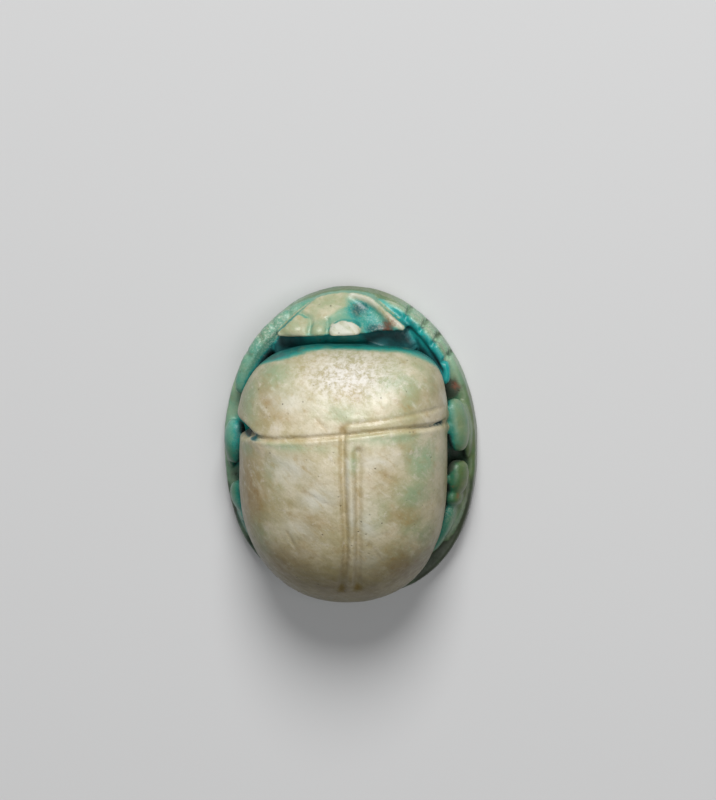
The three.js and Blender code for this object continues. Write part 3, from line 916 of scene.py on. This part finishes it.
class Finish:
    """Short ways to add nodes to a material."""

    def __init__(self, name):
        self.material = bpy.data.materials.new(name)
        self.material.use_nodes = True
        self.nodes = self.material.node_tree.nodes
        self.links = self.material.node_tree.links
        self.shader = self.nodes["Principled BSDF"]
        scale = self.add("ShaderNodeVectorMath", operation="SCALE")
        self.links.new(self.add("ShaderNodeTexCoord").outputs["Object"], scale.inputs[0])
        scale.inputs["Scale"].default_value = 1 / MM
        self.place = scale.outputs[0]

    def add(self, kind, **settings):
        node = self.nodes.new(kind)
        for name, value in settings.items():
            setattr(node, name, value)
        return node

    def put(self, socket, value):
        if isinstance(value, bpy.types.NodeSocket):
            self.links.new(value, socket)
        else:
            socket.default_value = value

    def math(self, operation, a, b=0.0, clamp=False):
        node = self.add("ShaderNodeMath", operation=operation, use_clamp=clamp)
        self.put(node.inputs[0], a)
        self.put(node.inputs[1], b)
        return node.outputs[0]

    def attribute(self, name):
        return self.add("ShaderNodeAttribute", attribute_name=name).outputs["Fac"]

    def noise(self, scale, detail=3.0, roughness=0.55, place=None):
        node = self.add("ShaderNodeTexNoise")
        self.put(node.inputs["Vector"], place or self.place)
        node.inputs["Scale"].default_value = scale
        node.inputs["Detail"].default_value = detail
        node.inputs["Roughness"].default_value = roughness
        return node.outputs["Fac"]

    def uneven(self, amount, *pattern):
        """Noise about zero, half this amount either way."""
        return self.math("MULTIPLY", self.math("SUBTRACT", self.noise(*pattern), 0.5), amount)

    def stretched(self, turn, size):
        """The place in millimetres, turned about Z and drawn out by these sizes."""
        node = self.add("ShaderNodeMapping", vector_type="TEXTURE")
        self.put(node.inputs["Vector"], self.place)
        node.inputs["Rotation"].default_value = (0, 0, turn)
        node.inputs["Scale"].default_value = size
        return node.outputs[0]

    def step(self, value, start, end, most=1.0):
        """0 up to start and most from end on; end may be below start."""
        node = self.add("ShaderNodeMapRange", interpolation_type="SMOOTHSTEP")
        self.put(node.inputs["Value"], value)
        node.inputs["From Min"].default_value = min(start, end)
        node.inputs["From Max"].default_value = max(start, end)
        node.inputs["To Min"].default_value = 0.0 if start < end else most
        node.inputs["To Max"].default_value = most if start < end else 0.0
        return node.outputs[0]

    def mix(self, factor, a, b, blend="MIX"):
        # a colour mix takes its two colours at 6 and 7 and gives its result at 2
        node = self.add("ShaderNodeMix", data_type="RGBA", blend_type=blend)
        self.put(node.inputs[0], factor)
        self.put(node.inputs[6], a)
        self.put(node.inputs[7], b)
        return node.outputs[2]

    def ramp(self, value, stops):
        node = self.add("ShaderNodeValToRGB")
        self.put(node.inputs[0], value)
        marks = node.color_ramp.elements
        while len(marks) < len(stops):
            marks.new(0.5)
        for mark, (position, colour) in zip(marks, stops):
            mark.position = position
            mark.color = colour
        return node.outputs[0]


def bare_stone(f):
    """Cream steatite with tan and green tints, fine diagonal streaks, chalky wear, and white flecks on the
    rubbed patch that partly paint glints.
    """
    clouds = f.noise(0.75, 5, 0.6)
    blots = f.noise(1.9, 4, 0.65)
    streaks = f.noise(1, 5, 0.65, f.stretched(math.radians(-42), (1.3, 0.4, 0.6)))
    grain = f.noise(11, 2)
    colour = f.mix(f.step(clouds, 0.38, 0.64), paint(SAND), paint(CREAM))
    green = f.math("MULTIPLY", f.attribute("green"), f.step(clouds, 0.78, 0.36))
    colour = f.mix(green, colour, paint(GREENED_STONE))
    own_tan = f.math("MULTIPLY", f.step(blots, 0.5, 0.74), 0.4)
    tan = f.math("ADD", f.attribute("tan"), own_tan, clamp=True)
    colour = f.mix(f.math("MULTIPLY", tan, f.step(streaks, 0.25, 0.58)), colour, paint(TAN))
    colour = f.mix(f.step(streaks, 0.56, 0.72, 0.38), colour, paint(TAN_STREAK))
    colour = f.mix(f.step(streaks, 0.45, 0.3, 0.36), colour, paint(PALE_STREAK))
    colour = f.mix(f.step(blots, 0.44, 0.3, 0.5), colour, paint(PALE_BLOT))
    colour = f.mix(f.step(grain, 0.5, 0.75, 0.28), colour, paint(GRAIN))
    chalk = f.math("MULTIPLY", f.attribute("chalk"), f.step(streaks, 0.75, 0.45))
    colour = f.mix(chalk, colour, paint(CHALK))
    # White flecks on the rubbed patch: partly rubbed stone, partly painted glints of its sparkle
    flecks = f.step(f.noise(3.4, 6, 0.78), 0.4, 0.58)
    colour = f.mix(f.math("MULTIPLY", f.attribute("worn"), flecks), colour, paint(RUBBED_STONE_AND_GLINT))
    pocks = f.math("MULTIPLY", f.attribute("worn"), f.step(f.noise(4.2, 6, 0.8), 0.4, 0.28))
    return f.mix(f.math("MULTIPLY", pocks, 0.8), colour, paint(POCK))


def teal_glaze(f):
    """From pale turquoise where it is thin to nearly black where it pools, and where its depth paints
    shade.
    """
    depth = f.math("ADD", f.attribute("deep"), f.uneven(0.34, 1.6, 5, 0.65), clamp=True)
    colour = f.ramp(depth, [(at, paint(shade)) for at, shade in GLAZE_DEPTHS])
    specks = f.math("MULTIPLY", f.attribute("frost"), f.step(f.noise(9, 5, 0.9), 0.47, 0.66))
    colour = f.mix(specks, colour, paint(FROST))
    in_the_open = f.step(f.attribute("nook"), 0.6, 0.2, 0.3)
    brown = f.math("MULTIPLY", f.step(f.noise(1.2, 4, 0.7), 0.54, 0.68), in_the_open)
    return f.mix(brown, colour, paint(BROWNED_GLAZE))


def pit_holes(f):
    """Small round pits, in some places only."""
    pits = f.add("ShaderNodeTexVoronoi")
    f.put(pits.inputs["Vector"], f.place)
    pits.inputs["Scale"].default_value = 2.6
    return f.math("MULTIPLY", f.step(pits.outputs["Distance"], 0.16, 0.05), f.step(f.noise(1.3), 0.5, 0.62))


def surface_colour(f, cover, hole):
    """Stone or glaze, under an olive tint and dark grime that are both partly painted shade, with rust and
    dark pits over it.
    """
    colour = f.mix(cover, bare_stone(f), teal_glaze(f))
    # Olive tint, partly painted shade
    colour = f.mix(f.attribute("soil_and_shade"), colour, paint(SOIL_AND_SHADE), "MULTIPLY")
    # Dark grime and painted shade
    dirt_and_shade = f.math("ADD", f.attribute("dirt_and_shade"), f.uneven(0.9, 2.4, 5, 0.7))
    colour = f.mix(f.step(dirt_and_shade, 0.3, 1, 0.9), colour, paint(DIRT_AND_SHADE))
    rust = f.math("ADD", f.attribute("stain"), f.uneven(1.6, 7, 4, 0.8))
    colour = f.mix(f.step(rust, 0.3, 1.1, 0.85), colour, paint(RUST))
    return f.mix(f.math("MULTIPLY", hole, 0.6), colour, paint(PIT))


def surface_roughness(f, cover):
    """Satin, duller where it is chalky and in crevices, and a little shinier on the glaze."""
    rough = f.math("ADD", f.math("MULTIPLY", f.noise(3.5, 4), 0.3), 0.26)
    rough = f.math("ADD", rough, f.math("MULTIPLY", f.attribute("chalk"), 0.2))
    rough = f.math("ADD", rough, f.math("MULTIPLY", f.attribute("nook"), 0.6))
    return f.math("SUBTRACT", rough, f.math("MULTIPLY", cover, 0.04))


def surface_lumps(f, hole):
    """Grain, fine diagonal tool marks, rubbed and frosted places, and the pits."""
    fine = f.math("MULTIPLY", f.noise(13, 3, 0.6), 0.35)
    lumps = f.math("ADD", fine, f.noise(3.2, 3, 0.5))
    scratch = f.noise(1, 2, 0.5, f.stretched(math.radians(-40), (1.4, 0.13, 0.5)))
    lumps = f.math("ADD", lumps, f.math("MULTIPLY", scratch, 0.35))
    rubbed = f.math("MULTIPLY", f.math("MULTIPLY", f.attribute("worn"), f.noise(6, 6, 0.8)), 3.5)
    lumps = f.math("ADD", lumps, rubbed)
    crust = f.math("MULTIPLY", f.math("MULTIPLY", f.attribute("frost"), f.noise(8, 3, 0.7)), 2)
    lumps = f.math("ADD", lumps, crust)
    return f.math("SUBTRACT", lumps, hole)


def glazed_steatite():
    f = Finish("glazed_steatite")
    ragged = f.math("ADD", f.attribute("cover"), f.uneven(0.7, 3.2, 4, 0.7))
    cover = f.step(ragged, 0.12, 0.88)
    hole = pit_holes(f)
    f.put(f.shader.inputs["Base Color"], surface_colour(f, cover, hole))
    f.put(f.shader.inputs["Roughness"], surface_roughness(f, cover))
    f.shader.inputs["Coat Weight"].default_value = 0.2
    f.shader.inputs["Coat Roughness"].default_value = 0.3
    bump = f.add("ShaderNodeBump")
    bump.inputs["Strength"].default_value = 0.6
    bump.inputs["Distance"].default_value = FINE_RELIEF * MM
    f.put(bump.inputs["Height"], surface_lumps(f, hole))
    f.put(f.shader.inputs["Normal"], bump.outputs[0])
    return f.material


# ---------------------------------------------------------------- the amulet


def scarab():
    forms = [("plate", base_plate()), ("core", core()), ("neck", neck())]
    forms += [("head", head()), ("back", back())]
    forms += [("front_shin", part) for part in legs(FRONT_SHINS)]
    forms += [("leg", part) for part in legs(HIND_LEG_SEGMENTS)]
    whole, nearest, names = joined(forms)
    mesh = fused(whole)
    softened(mesh, 2)
    co = columns(mesh, "co")
    form = form_of(co, nearest, names)
    co = carve(co, columns(mesh, "normal"), form)
    moved(mesh, co)
    normal = columns(mesh, "normal")
    shut = spread(mesh, recess(mesh, co, normal), 3)
    for name, values in glaze_and_wear(co, normal, form, shut).items():
        layer = mesh.attributes.new(name, "FLOAT", "POINT")
        layer.data.foreach_set("value", spread(mesh, values, 1))
    mesh.transform(Matrix.Scale(MM, 4))
    mesh.materials.clear()
    mesh.materials.append(glazed_steatite())
    mesh.polygons.foreach_set("use_smooth", [True] * len(mesh.polygons))
    piece = bpy.data.objects.new("scarab_carving", mesh)
    bpy.context.scene.collection.objects.link(piece)
    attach(piece, "root")
    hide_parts("scarab")


# ---------------------------------------------------------------- scene


def floor():
    bm = bmesh.new()
    bmesh.ops.create_grid(bm, x_segments=1, y_segments=1, size=0.6)
    mesh = bpy.data.meshes.new("floor")
    bm.to_mesh(mesh)
    bm.free()
    surface = bpy.data.objects.new("floor", mesh)
    material = bpy.data.materials.new("pale_floor")
    material.use_nodes = True
    shader = material.node_tree.nodes["Principled BSDF"]
    shader.inputs["Base Color"].default_value = (0.6, 0.6, 0.6, 1)
    shader.inputs["Roughness"].default_value = 0.9
    mesh.materials.append(material)
    bpy.context.scene.collection.objects.link(surface)


# Camera: its distance in metres, its lens, how far it is turned from straight above towards the
# amulet's right and its head, and how far from the amulet's centre it aims
CAMERA_DISTANCE = 0.3
CAMERA_LENS = 260
TURN_RIGHT = math.radians(7)
TURN_HEAD = math.radians(12)
AIM_RIGHT = 0.29 * MM
AIM_UP = 1.99 * MM


def camera():
    """Looks down on the amulet, from a little towards its right and its head."""
    away = Vector((math.sin(TURN_RIGHT), math.sin(TURN_HEAD), 0))
    away.z = math.sqrt(1 - away.x**2 - away.y**2)
    right = Vector((0, 1, 0)).cross(away).normalized()
    up = away.cross(right)
    aim = AIM_RIGHT * right + AIM_UP * up
    data = bpy.data.cameras.new("camera")
    data.lens = CAMERA_LENS
    data.clip_start = 0.01
    data.clip_end = 5
    turn = Matrix((right, up, away)).transposed().to_4x4()
    holder = bpy.data.objects.new("camera", data)
    holder.matrix_world = Matrix.Translation(aim + CAMERA_DISTANCE * away) @ turn
    bpy.context.scene.collection.objects.link(holder)
    bpy.context.scene.camera = holder


def soft_light(name, place, size, watts):
    """A round area light at this place in metres, turned to the amulet."""
    data = bpy.data.lights.new(name, "AREA")
    data.shape = "DISK"
    data.size = size
    data.energy = watts
    lamp = bpy.data.objects.new(name, data)
    turn = Vector(place).to_track_quat("Z", "Y").to_matrix().to_4x4()
    lamp.matrix_world = Matrix.Translation(place) @ turn
    bpy.context.scene.collection.objects.link(lamp)


def lights():
    soft_light("key", (0.02, 0.25, 0.22), 0.16, 1.15)
    soft_light("fill", (0.09, -0.02, 0.34), 0.25, 0.38)
    world = bpy.data.worlds.new("studio")
    world.use_nodes = True
    background = world.node_tree.nodes["Background"]
    background.inputs["Color"].default_value = (0.95, 0.97, 1, 1)
    background.inputs["Strength"].default_value = 0.1
    bpy.context.scene.world = world
    bpy.context.scene.view_settings.view_transform = "Standard"


camera()
lights()
floor()
scarab()
